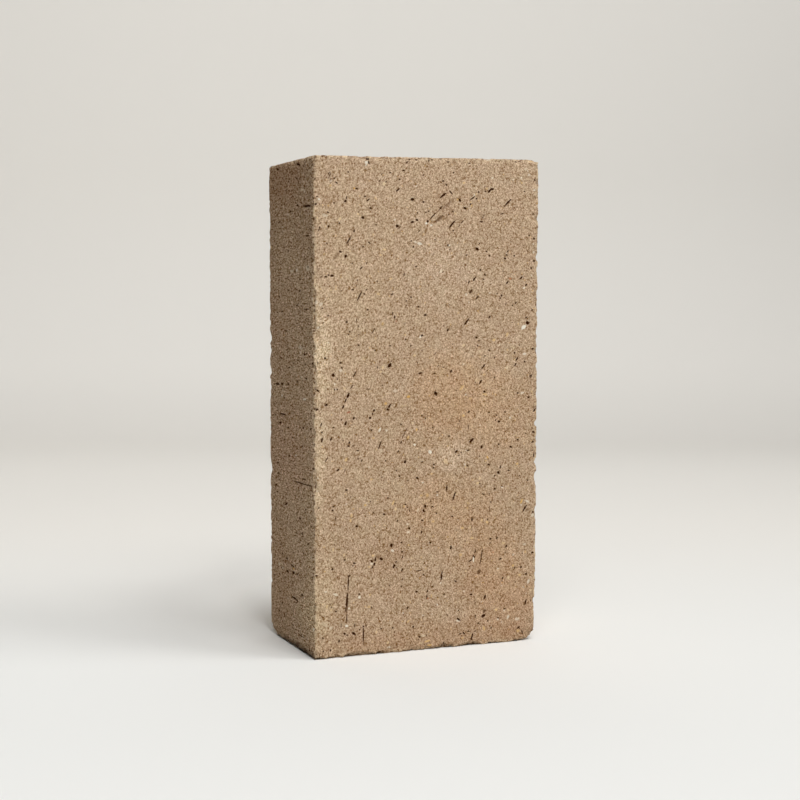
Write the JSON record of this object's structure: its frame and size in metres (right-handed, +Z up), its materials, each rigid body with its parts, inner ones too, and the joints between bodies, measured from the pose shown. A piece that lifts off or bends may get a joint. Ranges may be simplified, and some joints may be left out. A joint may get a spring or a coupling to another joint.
{
  "type": "clay paver",
  "caption": "Solid fired clay paver with a wire-cut, grit-specked wear face and chipped arrises, standing upright on its end.",
  "frame": {"origin": "centre of the end face that the paver stands on", "axes": "+Z up along the length, X across the width of the wear face, -Y out of the wear face, +Y out of the bed face"},
  "size_m": [0.113, 0.065, 0.23],
  "materials": {
    "fired_clay": "matt, sandy and pitted buff clay with pale, ochre and dark grit"
  },
  "bodies": {
    "root": {"paver": "fired_clay"}
  },
  "joints": []
}
